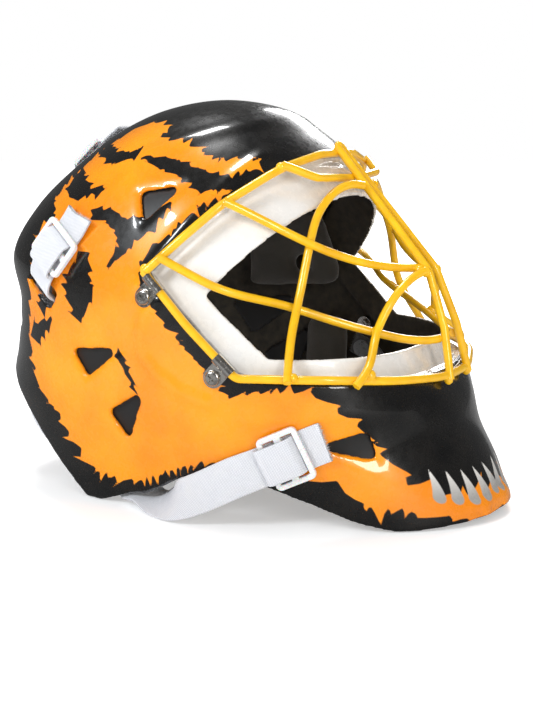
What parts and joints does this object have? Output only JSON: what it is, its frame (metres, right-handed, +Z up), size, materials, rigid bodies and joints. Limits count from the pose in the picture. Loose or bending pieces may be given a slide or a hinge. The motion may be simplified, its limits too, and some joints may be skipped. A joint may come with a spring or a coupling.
{
  "type": "goalie mask",
  "caption": "Ice hockey goalie mask: moulded shell with vents, wire cage over the eye port, elastic straps with slide buckles, hinged backplate and chin cup.",
  "frame": {"origin": "middle of the outline's width and length, at the height of the chin rim's lowest flat that the mask stands on", "axes": "+X towards the wearer's left, +Y backwards along the mask's length, +Z up; the cage faces -Y"},
  "size_m": [0.2336, 0.3308, 0.2454],
  "materials": {
    "shell_paint": "gloss clearcoat over two-colour paint",
    "cage_paint": "gloss powder coat",
    "clip_nickel": "bright nickel",
    "webbing": "knitted elastic",
    "buckle_plastic": "translucent moulded",
    "pad_cover": "brushed cloth over foam",
    "backplate_plastic": "gloss",
    "rivet_steel": "plated",
    "cup_plastic": "satin"
  },
  "bodies": {
    "mask": {"shell": "shell_paint", "cage_side_frame": "cage_paint", "cage_upper_frame": "cage_paint", "cage_brow_bar": "cage_paint", "cage_centre_bar_right": "cage_paint", "cage_centre_bar_left": "cage_paint", "cage_upper_cross_right": "cage_paint", "cage_upper_cross_left": "cage_paint", "cage_lower_cross_right": "cage_paint", "cage_lower_cross_left": "cage_paint", "cage_eye_arch_right": "cage_paint", "cage_eye_arch_left": "cage_paint", "cage_chin_arc_right": "cage_paint", "cage_chin_arc_left": "cage_paint", "cage_clips": "clip_nickel", "clip_screws": "clip_nickel", "clip_nuts": "clip_nickel", "strap_top": "webbing", "strap_upper_right": "webbing", "strap_upper_left": "webbing", "strap_lower_right": "webbing", "strap_lower_left": "webbing", "temple_pad_right": "pad_cover", "temple_pad_left": "pad_cover", "cheek_pad_right": "pad_cover", "cheek_pad_left": "pad_cover", "forehead_pad": "pad_cover", "crown_pad": "pad_cover", "chin_snaps": "rivet_steel"},
    "backplate": {"backplate": "backplate_plastic", "backplate_foam": "pad_cover", "plate_rivets": "rivet_steel", "strap_tab_top": "webbing", "strap_tab_upper_right": "webbing", "strap_tab_upper_left": "webbing", "strap_tab_lower_right": "webbing", "strap_tab_lower_left": "webbing"},
    "chin_cup": {"chin_cup": "cup_plastic", "chin_cup_liner": "pad_cover", "chin_arm_right": "webbing", "chin_arm_left": "webbing"},
    "upper_right_slider": {"buckle_upper_right": "buckle_plastic", "strap_loop_upper_right": "webbing"},
    "upper_left_slider": {"buckle_upper_left": "buckle_plastic", "strap_loop_upper_left": "webbing"},
    "lower_right_slider": {"buckle_lower_right": "buckle_plastic", "strap_loop_lower_right": "webbing"},
    "lower_left_slider": {"buckle_lower_left": "buckle_plastic", "strap_loop_lower_left": "webbing"},
    "top_slider": {"buckle_top": "buckle_plastic", "strap_loop_top": "webbing"}
  },
  "joints": [
    {"name": "backplate_swing", "type": "hinge", "parent": "mask", "child": "backplate", "pos_m": [0, 0.1492, 0.168], "axis": [1, 0, 0], "range_deg": [0, 25], "stiffness_Nm_per_rad": 0.6, "springref_deg": -8.59},
    {"name": "chin_cup_swing", "type": "hinge", "parent": "mask", "child": "chin_cup", "pos_m": [0, -0.0268, 0.074], "axis": [1, 0, 0], "range_deg": [-5, 12], "stiffness_Nm_per_rad": 2},
    {"name": "upper_right_buckle_slide", "type": "slide", "parent": "mask", "child": "upper_right_slider", "axis": [0.1432, -0.5898, 0.7948], "range_m": [-0.003, 0.004]},
    {"name": "lower_right_buckle_slide", "type": "slide", "parent": "mask", "child": "lower_right_slider", "axis": [0.2698, -0.8673, 0.4184], "range_m": [-0.003, 0.004]},
    {"name": "top_buckle_slide", "type": "slide", "parent": "mask", "child": "top_slider", "axis": [0, -0.7494, 0.6621], "range_m": [-0.003, 0.004]},
    {"name": "upper_left_buckle_slide", "type": "slide", "parent": "mask", "child": "upper_left_slider", "axis": [-0.1432, -0.5898, 0.7948], "range_m": [-0.003, 0.004]},
    {"name": "lower_left_buckle_slide", "type": "slide", "parent": "mask", "child": "lower_left_slider", "axis": [-0.2698, -0.8673, 0.4184], "range_m": [-0.003, 0.004]}
  ]
}
